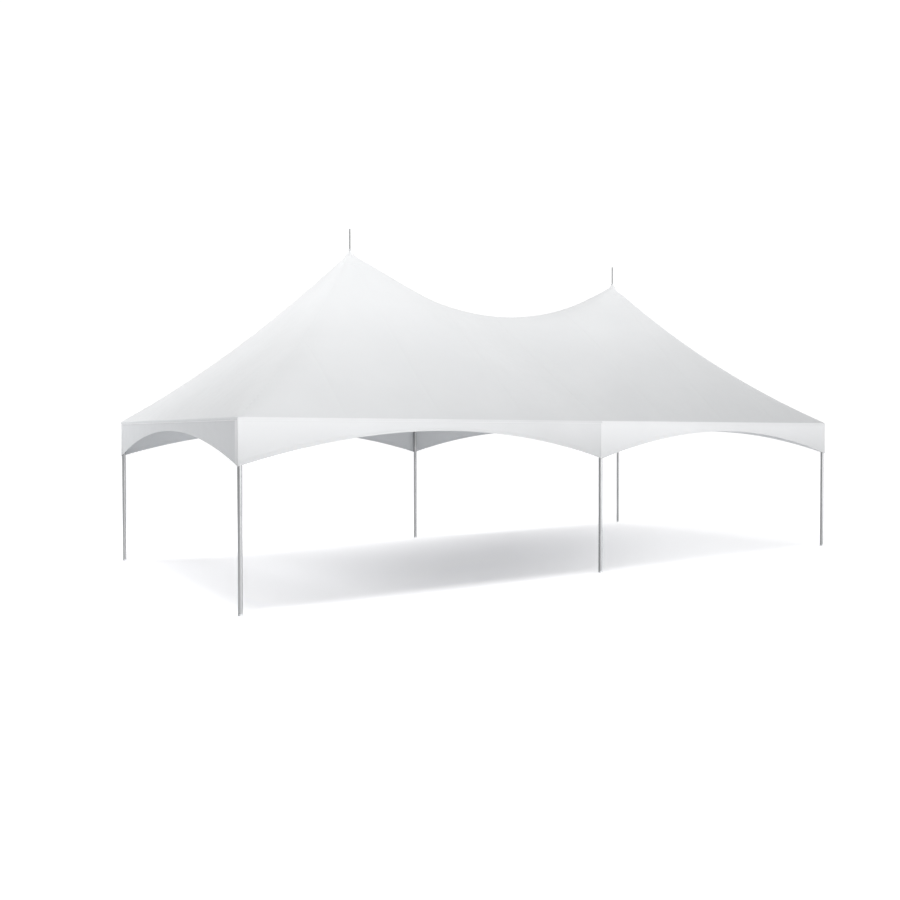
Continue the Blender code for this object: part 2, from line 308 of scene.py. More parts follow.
# Outer faces, painted darker towards the lower edge, and each long bay darker from the tent's
# left towards its right. The left bay is a shade darker than the right, and the ends are a
# darker copy of the same cloth: all painted shade.
VALANCE_VINYL = valance_cloths("vinyl", {
    "left": (0.688, 0.462, 0.007, 0.61, (-2 * HALF, 0, 0.28)),
    "right": (0.717, 0.490, 0.007, 0.61, (0, 2 * HALF, 0.16)),
    "end": (0.541, 0.492, 0.011, 0.50)})
# Inner faces, greyer copies of the cloth. The left bay's is painted darker towards the tent's
# left end and the right bay's towards the middle leg: painted shade. The ends' inner faces are
# a lighter copy: painted light.
VALANCE_INSIDE = valance_cloths("inside", {
    "left": (0.590, 0.420, 0.014, 0.05, (-4.9, -5.9, 0.45)),
    "right": (0.655, 0.465, 0.014, 0.05, (1.5, 0, 0.55)),
    "end": (0.800, 0.740, 0.010, 0.50)})


# Mesh helpers

SHARP_EDGE = math.radians(35)


def cloth_mesh():
    """Empty mesh, and the layer of the cloth's own coordinates on it."""
    bm = bmesh.new()
    return bm, bm.loops.layers.uv.new("cloth")


def mesh_object(name, bm, finish):
    """A piece of the tent, smooth apart from its sharp edges."""
    bmesh.ops.recalc_face_normals(bm, faces=bm.faces)
    mesh = bpy.data.meshes.new(name)
    bm.to_mesh(mesh)
    bm.free()
    mesh.shade_smooth()
    mesh.set_sharp_from_angle(angle=SHARP_EDGE)
    mesh.materials.append(finish)
    obj = bpy.data.objects.new(name, mesh)
    bpy.context.scene.collection.objects.link(obj)
    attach(obj, "root")
    return obj


def bridge(bm, rings, closed=False):
    """Faces from each ring of vertices to the next, and from the last to the first if
    closed. A ring of one vertex is a point that the faces meet in."""
    faces = []
    for first, second in zip(rings, rings[1:] + rings[:1] if closed else rings[1:]):
        for step in range(max(len(first), len(second))):
            corners = [ring[(step + ahead) % len(ring)]
                       for ring, ahead in ((first, 0), (first, 1), (second, 1), (second, 0))]
            faces.append(bm.faces.new(list(dict.fromkeys(corners))))
    return faces


def add_turned(bm, profile, place, sides):
    """Body of revolution about Z from a profile of (radius, height). One that doesn't
    start and end on the axis is closed into a ring."""
    rings = []
    for radius, height in profile:
        angles = turns(sides) if radius else [0.0]
        rings.append([bm.verts.new(place @ around(turn, radius, height)) for turn in angles])
    bridge(bm, rings, closed=profile[0][0] > 0)


def add_sweep(bm, points, radius, sides, closed=False):
    """Round bar along a line of points, with flat ends unless it is closed."""
    before = [points[-1 if closed else 0], *points]
    after = [*points[1:], points[0 if closed else -1]]
    side = None
    rings = []
    for last, point, following in zip(before, points, after):
        way = (following - last).normalized()
        if side is None:
            side = way.orthogonal()
        side = (side - way * side.dot(way)).normalized()
        over = way.cross(side)
        spokes = [math.cos(turn) * side + math.sin(turn) * over for turn in turns(sides)]
        rings.append([bm.verts.new(point + radius * spoke) for spoke in spokes])
    bridge(bm, rings, closed)
    if not closed:
        bm.faces.new(rings[0])
        bm.faces.new(rings[-1])


def add_block(bm, size, place, bevel):
    """Block with rounded edges."""
    made = bmesh.ops.create_cube(bm, size=1, matrix=place @ Matrix.Diagonal((*size, 1)))
    edges = list({edge for vert in made["verts"] for edge in vert.link_edges})
    bmesh.ops.bevel(bm, geom=edges, offset=bevel, segments=2, profile=0.5, affect="EDGES")


def add_plate(bm, outline, thickness, place, chamfer=0.001):
    """Plate across the X axis from an outline of (y, z), with its edges broken."""
    outline = [Vector(point) for point in outline]
    middle = sum(outline, Vector((0, 0))) / len(outline)
    face, rim = thickness / 2, thickness / 2 - chamfer
    rings = []
    for level, inset in ((-face, chamfer), (-rim, 0), (rim, 0), (face, chamfer)):
        ways = [point - middle for point in outline]
        kept = [middle + way * (1 - inset / way.length) for way in ways]
        rings.append([bm.verts.new(place @ Vector((level, *point))) for point in kept])
    bridge(bm, rings)
    bm.faces.new(rings[0])
    bm.faces.new(rings[-1])


def barrel(low, high, radius, rim, chamfer):
    """Profile of a solid barrel with both edges broken. rim is its radius at the ends."""
    return [(0, high), (rim, high), (radius, high - chamfer), (radius, low + chamfer),
            (rim, low), (0, low)]


def add_bolt(bm, place, shank_r, length):
    """Hexagon head that starts at Z 0, and a nut on the far end of its shank."""
    across, height = shank_r * 1.75, shank_r * 1.3
    for low in (-height, length):
        add_turned(bm, barrel(low, low + height, across, across * 0.86, height * 0.2),
                   place, 6)
    tip = length + height + shank_r
    add_turned(bm, [(0, tip), (shank_r * 0.8, tip), (shank_r, tip - shank_r * 0.2),
                    (shank_r, 0), (0, 0)], place, 14)


def add_pin(bm, place, radius, length):
    """Clevis pin along X, with a flat head at one end and a split pin at the other."""
    half, head = length / 2, radius * 1.45
    add_turned(bm, [(0, half + 0.003), (head - 0.001, half + 0.003), (head, half + 0.002),
                    (head, half + SNUG), (radius, half + SNUG), (radius, -half - 0.006),
                    (radius - 0.001, -half - 0.007), (0, -half - 0.007)],
               place @ SIDEWAYS, 20)
    reach = radius + 0.005
    line = [(0, -reach - 0.004), (0, reach), (0.0022, reach + 0.003), (0, reach + 0.006),
            (-0.0022, reach + 0.003), (0, reach)]
    add_sweep(bm, [place @ Vector((-half - 0.004, *point)) for point in line], 0.0009, 6)


def eye(half, near, far):
    """Outline of (y, z) of a lug that is square at near and round at far."""
    way = math.copysign(1, far - near)
    arc = [math.pi * step / 12 - math.pi / 2 for step in range(13)]
    return [(-half, near), *((half * math.sin(turn), far + way * half * (math.cos(turn) - 1))
                             for turn in arc), (half, near)]


def threaded(start, end, radius, pitch=0.003):
    """Profile of (radius, height) with a ridge for each turn of a thread."""
    count = round((end - start) / pitch)
    profile = [(0, start)]
    for turn in range(count):
        foot = start + (end - start) * turn / count
        profile += [(radius * 0.88, foot), (radius, foot + pitch / 2)]
    return profile + [(radius * 0.88, end), (0, end)]


def corner_step(out, share):
    """Offset from a corner leg's axis and the outward way of cloth that goes round the
    corner at distance out. Share 0 faces the end of the tent and 1 the long side."""
    radius = min(out, CORNER_R)
    flat = out - radius
    run = 2 * min(share, 1 - share) * (flat + radius * math.pi / 4)
    if run <= flat:
        place, way = (out, run), (1.0, 0.0)
    else:
        turn = (run - flat) / radius
        way = (math.cos(turn), math.sin(turn))
        place = (flat + radius * way[0], flat + radius * way[1])
    if share > 0.5:
        place, way = place[::-1], way[::-1]
    return Vector((*place, 0)), Vector((*way, 0))


# The roof

RINGS = 56                # lines of the grid from a mast out to the eave beam
HOLE_RING = 4             # the line that runs round the hole
ROUND_FROM = 0.22         # rings are round inside this distance from the mast
ROUND_TO = 1.10           # and square outside this one
RING_POWER = math.log(HOLE_R / AXIS_Y) / math.log(HOLE_RING / RINGS)
SHOULDER_STEPS = 7
FLAP_FROM = 4             # the step of the shoulder at which the flap's cloth begins
CORNER_STEPS = 12
PLEATS = 16               # shallow folds round a peak
PLEAT_DEPTH = 0.004
CREASES = 18              # faint creases round a leg's head
CREASE_DEPTH = 0.003
CREASE_END = 1.6          # distance from the leg at which none is left


def hollow(share):
    """Height share along a slope that sags a little between its two ends."""
    return share - SLOPE_SAG * share * (1 - share)


def roof_height(x, y):
    """Height of the stretched roof over a point of the plan, as the frame has it."""
    across = hollow(max(0.0, (HALF - abs(y)) / HALF))
    from_end = (2 * HALF - abs(x)) / HALF
    if from_end <= 1:
        length, fade = hollow(max(0.0, from_end)), 1.0
    else:
        fade = (abs(x) / HALF) ** 2
        length = RIDGE_LOW + (1 - RIDGE_LOW) * fade
    if across <= 0 or length <= 0:
        return EAVE_Z
    mean = math.sqrt(across * length)
    power = min(40.0, max(0.05, HIP_SHARPNESS * fade / max(1 - mean, 0.001)))
    share = (across ** -power + length ** -power - 1) ** (-1 / power)
    return EAVE_Z + PEAK_RISE * share


def shoulder_line():
    """(distance out from the beam's axis, height) of the cloth as it leaves the slope,
    turns down round the eave beam and hangs as a flap."""
    slope_top = roof_height(HALF, AXIS_Y)
    lean = math.pi / 2 - math.atan((slope_top - EAVE_Z) / INSET)
    line = [(0.0, slope_top)]
    for step in range(SHOULDER_STEPS):
        turn = lean * (1 - step / (SHOULDER_STEPS - 1))
        line.append((SHOULDER_R * math.cos(turn), BEAM_Z + SHOULDER_R * math.sin(turn)))
    return line + [(FLAP_R - 0.0012, BEAM_Z - 0.004), (FLAP_R, BEAM_Z - 0.009),
                   (FLAP_R, FLAP_BOTTOM + 0.006), (FLAP_R, FLAP_BOTTOM)]


SHOULDER = shoulder_line()


def pleat(offset_x, offset_y):
    """Shallow folds that radiate from a mast's top."""
    reach = math.hypot(offset_x, offset_y)
    turn = math.atan2(offset_y, offset_x)
    fade = smooth_step(reach, 0.05, 0.12) * math.exp(-reach / 0.22)
    return PLEAT_DEPTH * fade * (math.cos(PLEATS * turn) - 1)


def corner_folds(x, y):
    """Faint creases that radiate from each leg's head into the slopes."""
    lift = 0.0
    for leg in LEGS.values():
        away = math.hypot(x - leg.x, y - leg.y)
        if away <= CREASE_END:
            turn = math.atan2(y - leg.y, x - leg.x)
            fade = smooth_step(away, 0.06, 0.30) * math.exp(-away / 0.35)
            lift += CREASE_DEPTH * fade * math.cos(CREASES * turn)
    return lift


def roof_point(bay, over, back):
    """Point of the roof's grid. over and back number the lines counted from the bay's
    mast: over is below 0 towards the end of the tent, and past RINGS lies the shoulder."""
    lines = [min(abs(over), RINGS), min(abs(back), RINGS)]
    steps = [AXIS_Y * (line / RINGS) ** RING_POWER for line in lines]
    if over > RINGS:
        steps[0] = HALF
    offsets = [math.copysign(steps[0], over), math.copysign(steps[1], back)]
    largest, reach = max(steps), math.hypot(*steps)
    if reach > 0:
        roundness = 1 - smooth_step(largest, ROUND_FROM, ROUND_TO)
        scale = 1 + roundness * (largest / reach - 1)
        offsets = [offset * scale for offset in offsets]
    x = BAYS[bay] * (HALF - offsets[0])
    y = offsets[1]
    z = roof_height(x, y) + pleat(*offsets) + corner_folds(x, y)
    shoulder = [max(0, -over - RINGS), max(0, abs(back) - RINGS)]
    if not any(shoulder):
        return Vector((x, y, z))
    out, height = SHOULDER[max(shoulder)]
    share = 0.5 * min(shoulder) / max(shoulder)
    outward, _ = corner_step(out, share if shoulder[0] >= shoulder[1] else 1 - share)
    scale = (z - BEAM_Z) / (SHOULDER[0][1] - BEAM_Z) if height > BEAM_Z else 1
    return Vector((x + BAYS[bay] * outward.x, y + math.copysign(outward.y, back),
                   BEAM_Z + (height - BEAM_Z) * scale))


def make_roof_sheet():
    """One stretched sheet over both bays, with a round hole at each mast."""
    bm, cloth = cloth_mesh()
    edge = RINGS + len(SHOULDER) - 1
    made = {}

    def vert(bay, over, back):
        key = ("middle", 0, back) if over == RINGS + 1 else (bay, over, back)
        if key not in made:
            made[key] = bm.verts.new(roof_point(bay, over, back))
        return made[key]

    for bay in BAYS:
        for over in range(-edge, RINGS + 1):
            for back in range(-edge, edge):
                farther = [max(abs(over), abs(over + 1)), max(abs(back), abs(back + 1))]
                if max(farther) <= HOLE_RING:
                    continue
                corners = [(over, back), (over + 1, back), (over + 1, back + 1),
                           (over, back + 1)]
                if BAYS[bay] < 0:
                    corners.reverse()
                face = bm.faces.new([vert(bay, *corner) for corner in corners])
                nearer = [min(abs(over), abs(over + 1)), min(abs(back), abs(back + 1))]
                if max(nearer) >= RINGS + FLAP_FROM:
                    cloth_of = "end" if nearer[0] > nearer[1] else bay
                    face.material_index = 1 + list(VALANCE_VINYL).index(cloth_of)
    for face in bm.faces:
        for loop in face.loops:
            loop[cloth].uv = (loop.vert.co.x, loop.vert.co.y * 1.3)
    roof = mesh_object("roof_sheet", bm, ROOF_VINYL)
    for finish in VALANCE_VINYL.values():
        roof.data.materials.append(finish)
    thickness = roof.modifiers.new("cloth_thickness", "SOLIDIFY")
    thickness.thickness = CLOTH
    thickness.offset = -1
    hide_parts(*[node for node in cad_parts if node.startswith("roof_")])
    return roof


# The valances

VALANCE_ROWS = 9          # rows of faces between the hem and the top
SWING = 0.010             # how far the cloth stands out where it hangs lowest


def valance_swing(share, down, run):
    """How far the hanging cloth stands out from its upright plane."""
    slack = max(0.0, 1 - share ** 2)
    ripple = 0.0015 * math.sin(run * 5.1 + 0.8) + 0.001 * math.sin(run * 11.3)
    return down * slack * (SWING + ripple)


def valance_column(share):
    """(height, how far it is folded double) of the cloth from its lower edge to its top."""
    bottom = EAVE_Z - (VALANCE_MID + (VALANCE_LEG - VALANCE_MID) * share ** 2)
    hem_top = bottom + HEM_WIDTH
    rise = (VALANCE_TOP - hem_top) / VALANCE_ROWS
    return [(bottom, 0.5), (bottom + HEM_FOLD, 1), (hem_top - HEM_STEP, 1), (hem_top, 0),
            *((hem_top + rise * row, 0) for row in range(1, VALANCE_ROWS + 1))]


def valance_sheet(part, path, cloth_of):
    """Upright sheet along a path of (point, outward, arch share). Its lower edge is an
    arch, and it is folded double along each free edge."""
    bm, cloth = cloth_mesh()
    runs = [0.0]
    for (before, _, _), (after, _, _) in zip(path, path[1:]):
        runs.append(runs[-1] + (after - before).length)
    columns = []
    for (point, outward, share), run in zip(path, runs):
        near_end = min(run, runs[-1] - run)
        column = []
        for height, folded in valance_column(share):
            if near_end <= HEM_WIDTH:
                folded = 0.5 if near_end == 0 else 1
            half = (CLOTH + (HEM - CLOTH) * folded) / 2
            down = (VALANCE_TOP - height) / (VALANCE_LEG - VALANCE_MID)
            middle = Vector((*point.xy, height)) + outward * valance_swing(share, down, run)
            column.append([bm.verts.new(middle + outward * half * face) for face in (1, -1)])
        columns.append(column)

    name, node = f"valance_cloth_{part}", f"valance_{part}"
    shift = 0.7 * len(name)
    for index, (first, second) in enumerate(zip(columns, columns[1:])):
        for low in range(len(first) - 1):
            for side in (0, 1):
                face = bm.faces.new([first[low][side], second[low][side],
                                     second[low + 1][side], first[low + 1][side]])
                face.material_index = side
                for loop, ahead in zip(face.loops, (0, 1, 1, 0)):
                    loop[cloth].uv = (runs[index + ahead] + shift, loop.vert.co.z)
        for level in (0, -1):
            bm.faces.new([*first[level], *second[level][::-1]])
    for column in (columns[0], columns[-1]):
        for lower, upper in zip(column, column[1:]):
            bm.faces.new([*lower, *upper[::-1]])
    sheet = mesh_object(name, bm, VALANCE_VINYL[cloth_of])
    sheet.data.materials.append(VALANCE_INSIDE[cloth_of])
    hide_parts(node)
    return sheet


def hem_steps(start, end, spacing, hem_start=True, hem_end=True):
    """Places from start to end, close together where the end hems are folded."""
    way = math.copysign(1, end - start)
    folds = [way * reach for reach in (HEM_FOLD, HEM_WIDTH - HEM_STEP, HEM_WIDTH)]
    head = [start, *(start + fold for fold in folds if hem_start)]
    tail = [*(end - fold for fold in folds[::-1] if hem_end), end]
    count = max(1, math.ceil(abs(tail[0] - head[-1]) / spacing))
    body = [head[-1] + (tail[0] - head[-1]) * step / count for step in range(count + 1)]
    return head[:-1] + body + tail[1:]


def long_valance(side, bay):
    """Valance of one bay of a long side. It starts on the end of the tent, goes round the
    corner leg and ends in a lap at the middle leg."""
    x_sign, y_sign = BAYS[bay], SIDES[side]
    lap_way = 1 if x_sign * y_sign < 0 else -1
    mirror = Matrix.Diagonal((x_sign, y_sign, 1))
    path = [(Vector((AXIS_X + VALANCE_R + LAP_SHIFT, y, 0)), Vector((1, 0, 0)), y / HALF)
            for y in hem_steps(AXIS_Y - LAP, AXIS_Y, 0.03, hem_end=False)]
    for step in range(1, CORNER_STEPS):
        share = step / CORNER_STEPS
        place, outward = corner_step(VALANCE_R + LAP_SHIFT * (1 - share), share)
        arch = AXIS_Y / HALF + INSET / HALF * (1 - abs(1 - 2 * share))
        path.append((Vector((AXIS_X, AXIS_Y, 0)) + place, outward, arch))
    for x in hem_steps(AXIS_X, -LAP / 2, 0.05, hem_start=False):
        near_middle = 1 - smooth_step(abs(x), LAP, 0.30)
        radius = VALANCE_R + LAP_SHIFT * near_middle * lap_way
        path.append((Vector((x, AXIS_Y + radius, 0)), Vector((0, 1, 0)),
                     abs(abs(x) - HALF) / HALF))
    return valance_sheet(f"{side}_{bay}", [(mirror @ point, mirror @ outward, share)
                                           for point, outward, share in path], bay)


def end_valance(bay):
    """Valance of one end, tucked behind the long sides' valances at its corners."""
    path = []
    for y in hem_steps(-AXIS_Y, AXIS_Y, 0.05):
        tucked = smooth_step(abs(y), AXIS_Y - 0.30, AXIS_Y - LAP)
        x = AXIS_X + VALANCE_R - LAP_SHIFT * tucked
        path.append((Vector((BAYS[bay] * x, y, 0)), Vector((BAYS[bay], 0, 0)),
                     abs(y) / HALF))
    return valance_sheet(f"end_{bay}", path, "end")


def make_piping():
    """Round piping sewn where the roof's flap ends, all the way round the tent."""
    corners = []
    for x_sign, y_sign in ((1, -1), (1, 1), (-1, 1), (-1, -1)):
        mirror = Matrix.Diagonal((x_sign, y_sign, 1))
        bend = [mirror @ (Vector((AXIS_X, AXIS_Y, FLAP_BOTTOM))
                          + corner_step(FLAP_R - LOOSE, step / CORNER_STEPS)[0])
                for step in range(CORNER_STEPS + 1)]
        corners += bend if x_sign == y_sign else bend[::-1]
    line = []
    for point, ahead in zip(corners, corners[1:] + corners[:1]):
        count = max(1, round((ahead - point).length / 0.25))
        line += [point.lerp(ahead, step / count) for step in range(count)]
    bm, _ = cloth_mesh()
    add_sweep(bm, line, PIPING_R, 10, closed=True)
    return mesh_object("eave_piping", bm, VALANCE_VINYL["right"])


# Seams and webbing, with widths and rises in that order

SEAM = (0.028, 0.0011)
HIP_SEAM = (0.034, 0.0014)
MIDDLE_SEAM = (0.040, 0.0014)
RIDGE_SEAM = (0.034, 0.0016)
HIP_STRAP = (0.050, 0.0022)
STRIP_SINK = 0.0002       # how far the edges of a strip lie inside the roof's face
STRIP_FLAT = 0.94         # share of a strip's width that lies at its full height
SEAM_EDGE = HALF - 0.006  # from a bay's middle out to where seams begin
PEAK_CLEAR = 0.10         # from a mast's axis out to where seams end
HIP_MEET = HALF / 2 + 0.02  # and out to where a seam halfway to a corner meets the hip
INNER_START = 0.08        # how much later a seam begins on the inner face
SPACING = 0.06            # from one row of a seam to the next
ABOVE_PEAKS = 9.0         # heights from which the roof is looked for
BELOW_EAVES = 0.5


def surface_of(obj):
    return BVHTree.FromObject(obj, bpy.context.evaluated_depsgraph_get())


def on_roof(surface, x, y, above=True):
    """Point on the roof's outer or inner face, and the outer normal there."""
    height, way = (ABOVE_PEAKS, -1) if above else (BELOW_EAVES, 1)
    hit, normal, _, _ = surface.ray_cast(Vector((x, y, height)), UP * way)
    if hit and normal.z < 0:
        normal = -normal
    return hit, normal


class Strips:
    """Flat bands of cloth over straight lines of the plan. They lie on one face of the
    roof and thin out at their ends."""

    def __init__(self, surface):
        self.surface = surface
        self.bm, self.cloth = cloth_mesh()

    def row(self, place, across, width, rise, above, cuts, run):
        """Vertices across a strip with their cloth coordinates, or None off the roof."""
        inner = [STRIP_FLAT * (cut / cuts - 0.5) for cut in range(cuts + 1)]
        verts = []
        for share in [-0.5, *inner, 0.5]:
            hit, normal = on_roof(self.surface, *(place + across * width * share), above)
            if hit is None:
                return None
            height = rise if rise and abs(share) < 0.5 else -STRIP_SINK
            verts.append((self.bm.verts.new(hit + normal * (height if above else -height)),
                          (run, width * share)))
        return verts

    def add(self, start, end, spacing, width, rise, above=True, cuts=2):
        """cuts is the number of cells across the strip, for one that bends over a hip."""
        stretch = end - start
        count = max(2, math.ceil(stretch.length / spacing))
        across = stretch.orthogonal().normalized()
        rows = [self.row(start.lerp(end, step / count), across, width,
                         rise if 0 < step < count else 0, above, cuts,
                         stretch.length * step / count) for step in range(count + 1)]
        rows = [row for row in rows if row]
        for first, second in zip(rows, rows[1:]):
            for step in range(len(first) - 1):
                quad = [first[step], first[step + 1], second[step + 1], second[step]]
                face = self.bm.faces.new([vert for vert, _ in quad])
                for loop, (_, place) in zip(face.loops, quad):
                    loop[self.cloth].uv = place

    def seam(self, start, end, width, rise, spacing=SPACING):
        """Welded lap from near the eave up to a place on the slope, with its edge showing
        on both faces of the roof."""
        start, end = Vector(start), Vector(end)
        inner = start + (end - start).normalized() * INNER_START
        self.add(start, end, spacing, width, rise)
        self.add(inner, end, spacing, width, 0.6 * rise, above=False)

    def piece(self, name, finish=ROOF_VINYL):
        mesh_object(name, self.bm, finish)


def make_seams(surface):
    """Welded laps between the widths of cloth, and along the hips."""
    for side, y_sign in SIDES.items():
        for bay, x_sign in BAYS.items():
            strips = Strips(surface)
            for share, top in ((0.5, 0.03), (1.0, PEAK_CLEAR), (1.5, HIP_MEET)):
                x = x_sign * HALF * share
                strips.seam((x, y_sign * SEAM_EDGE), (x, y_sign * top), *SEAM)
            low, high = [Vector((x_sign * (HALF + reach), y_sign * reach))
                         for reach in (HALF - 0.110, 0.12)]
            strips.add(low, high, 0.012, *HIP_SEAM, cuts=6)
            strips.piece(f"roof_seams_{side}_{bay}")
    for bay, x_sign in BAYS.items():
        strips = Strips(surface)
        for share, top in ((-0.5, HIP_MEET), (0, PEAK_CLEAR), (0.5, HIP_MEET)):
            strips.seam((x_sign * (HALF + SEAM_EDGE), HALF * share),
                        (x_sign * (HALF + top), HALF * share), *SEAM)
        strips.piece(f"roof_seams_end_{bay}")
    strips = Strips(surface)
    for y_sign in SIDES.values():
        strips.seam((0, y_sign * SEAM_EDGE), (0, y_sign * 0.002), *MIDDLE_SEAM, 0.015)
    ridge_end = Vector((HALF - PEAK_CLEAR, 0))
    strips.add(-ridge_end, ridge_end, SPACING, *RIDGE_SEAM)
    strips.piece("roof_seams_middle")


def make_webbing(surface):
    """Straps under the hips, from each peak down to the leg heads."""
    for bay, x_sign in BAYS.items():
        mast = MASTS[bay].xy
        strips = Strips(surface)
        for x in (x_sign * AXIS_X, 0):
            for y_sign in SIDES.values():
                head = Vector((x, y_sign * AXIS_Y))
                way = (head - mast).normalized()
                strips.add(mast + way * 0.07, head - way * 0.06, 0.03, *HIP_STRAP,
                           above=False, cuts=6)
        strips.piece(f"hip_webbing_{bay}", WEBBING)


# The boots at the peaks, as (radius, height) and then (radius, rise above the roof)

BOOT = [(0.0125, 5.452), (0.0140, 5.438), (0.0150, 5.424), (0.0185, 5.412),
        (0.0270, 5.402), (0.0400, 5.391), (0.0520, 5.379), (0.0590, 5.366),
        (0.0650, 5.350)]
BOOT_SKIRT = [(0.080, 0.004), (0.100, 0.0022), (0.150, 0.0018), (0.200, 0.0016),
              (0.240, 0.0014), (0.242, -0.0004)]
BOOT_SIDES = 64
BOOT_FOLDS, FOLD_DEPTH = 12, 0.0006
BAND_Z = 5.438            # middle of the band that clamps a boot
CAP_SEAT = 5.3183


def make_boot(bay, surface):
    """Cloth boot welded round the hole in a peak and strapped to the spire."""
    bm, cloth = cloth_mesh()
    rings = []
    for radius, height in BOOT:
        fold = FOLD_DEPTH * smooth_step(radius, 0.012, 0.03)
        spots = [around(turn, radius + fold * math.cos(BOOT_FOLDS * turn), height)
                 for turn in turns(BOOT_SIDES)]
        rings.append([bm.verts.new(MASTS[bay] + spot) for spot in spots])
    for radius, rise in BOOT_SKIRT:
        hits = [on_roof(surface, *(MASTS[bay] + around(turn, radius)).xy)
                for turn in turns(BOOT_SIDES)]
        rings.append([bm.verts.new(hit + normal * rise) for hit, normal in hits])
    for face in bridge(bm, rings):
        for loop in face.loops:
            loop[cloth].uv = loop.vert.co.xy
    mesh_object(f"peak_boot_{bay}", bm, ROOF_VINYL)


# Metal


def make_spire(bay):
    """The finial's plug, cap and spire, with a band that clamps the boot."""
    place = Matrix.Translation(MASTS[bay])
    low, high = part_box(f"finial_{bay}")
    cap, plug = 0.049, 0.0264
    bm = bmesh.new()
    add_turned(bm, [
        (0, high.z), (0.004, high.z - 0.0006), (0.0078, high.z - 0.003),
        (0.0098, high.z - 0.007), (0.0105, high.z - 0.012), (0.0105, 5.440),
        (0.0122, 5.437), (0.0122, 5.402), (0.020, 5.398), (cap * 0.92, 5.376),
        (cap, 5.368), (cap, CAP_SEAT + 0.003), (cap - 0.003, CAP_SEAT), (plug, CAP_SEAT),
        (plug, low.z + 0.004), (plug - 0.004, low.z), (0, low.z)], place, 40)
    spire = mesh_object(f"spire_{bay}", bm, SPIRE_METAL)
    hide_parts(f"finial_{bay}")
    bm = bmesh.new()
    band = place @ up(BAND_Z)
    add_turned(bm, [(0.0190, 0.006), (0.0196, 0.005), (0.0196, -0.005), (0.0190, -0.006),
                    (0.0152, -0.006), (0.0152, 0.006)], band, 40)
    screw = band @ Matrix.Translation((0, 0.022, 0))
    add_block(bm, (0.012, 0.010, 0.014), screw, 0.0015)
    add_turned(bm, [(0, 0.016), (0.0034, 0.016), (0.0038, 0.012), (0.0038, -0.010),
                    (0, -0.010)], screw @ SIDEWAYS, 14)
    mesh_object(f"boot_clamp_{bay}", bm, ZINC)


def make_tube(node):
    """Round drawn tube with its cut edges broken, in place of the frame's one of 24
    sides. The legs are closed at the foot."""
    low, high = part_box(node)
    size = high - low
    axis = max(range(3), key=lambda number: size[number])
    length, radius = size[axis], min(size) / 2
    start, end = (low + high) / 2, (low + high) / 2
    start[axis], end[axis] = low[axis], high[axis]
    bore, edge = radius - TUBE_WALL, 0.0006
    profile = [(bore, length - edge), (bore + edge, length), (radius - edge, length),
               (radius, length - edge), (radius, edge), (radius - edge, 0)]
    if node.startswith("leg_"):
        profile = [(0, FOOT_PLATE), (bore, FOOT_PLATE), *profile, (0, 0)]
    else:
        profile += [(bore + edge, 0), (bore, edge)]
    bm = bmesh.new()
    add_turned(bm, profile, along(start, end), 64)
    tube = mesh_object(f"{node}_tube", bm, ALUMINIUM["xyz"[axis]])
    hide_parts(node)


def add_button(bm, centre, way):
    """Spring button of a spigot, standing out of the tube's wall."""
    out = TUBE_R + 0.0036
    add_turned(bm, [(0, out), (0.0022, out - 0.0003), (0.0038, out - 0.0016),
                    (0.0044, TUBE_R), (0.0044, TUBE_R - 0.004), (0, TUBE_R - 0.004)],
               along(centre, centre + way), 16)


def beam_ways(leg):
    """Directions in which beams leave a leg's head."""
    place = LEGS[leg]
    ways = [Vector((-x_sign, 0, 0)) for x_sign in BAYS.values() if place.x * x_sign >= 0]
    return ways + [Vector((0, -math.copysign(1, place.y), 0))]


def cable_line(leg, bay):
    """Axis of a mast cable, from the leg's head to the mast's foot."""
    return LEGS[leg] + UP * CABLE_HEAD_Z, MASTS[bay] + UP * CABLE_FOOT_Z


def add_beam_joint(bm, centre, way):
    """Sleeve over a beam's end, with the bolt and the web under it and the button of the
    spigot inside the beam."""
    beam_axis = centre + UP * BEAM_Z
    inner, outer, lip = TUBE_R + LOOSE, HEAD_R - 0.0005, HEAD_R + 0.0007
    add_turned(bm, [(inner, 0.092), (lip - 0.0004, 0.092), (lip, 0.091), (lip, 0.084),
                    (outer, 0.082), (outer, 0.012), (inner, 0.012)],
               along(beam_axis, beam_axis + way), 40)
    under = centre + way * 0.070 + UP * (BEAM_Z - outer - SNUG)
    add_bolt(bm, Matrix.Translation(under) @ Matrix.Rotation(math.pi, 4, "X"), 0.004, 0.0)
    top, bottom = BEAM_Z - TUBE_R, HEAD_BOTTOM + 0.014
    turn = Matrix.Rotation(math.atan2(way.y, way.x) - math.pi / 2, 4, "Z")
    add_plate(bm, [(0.022, top), (0.056, top), (0.058, top - 0.004), (HEAD_R, bottom),
                   (0.022, bottom)], 0.008, Matrix.Translation(centre) @ turn, 0.0015)
    add_button(bm, beam_axis + way * 0.128, -UP)


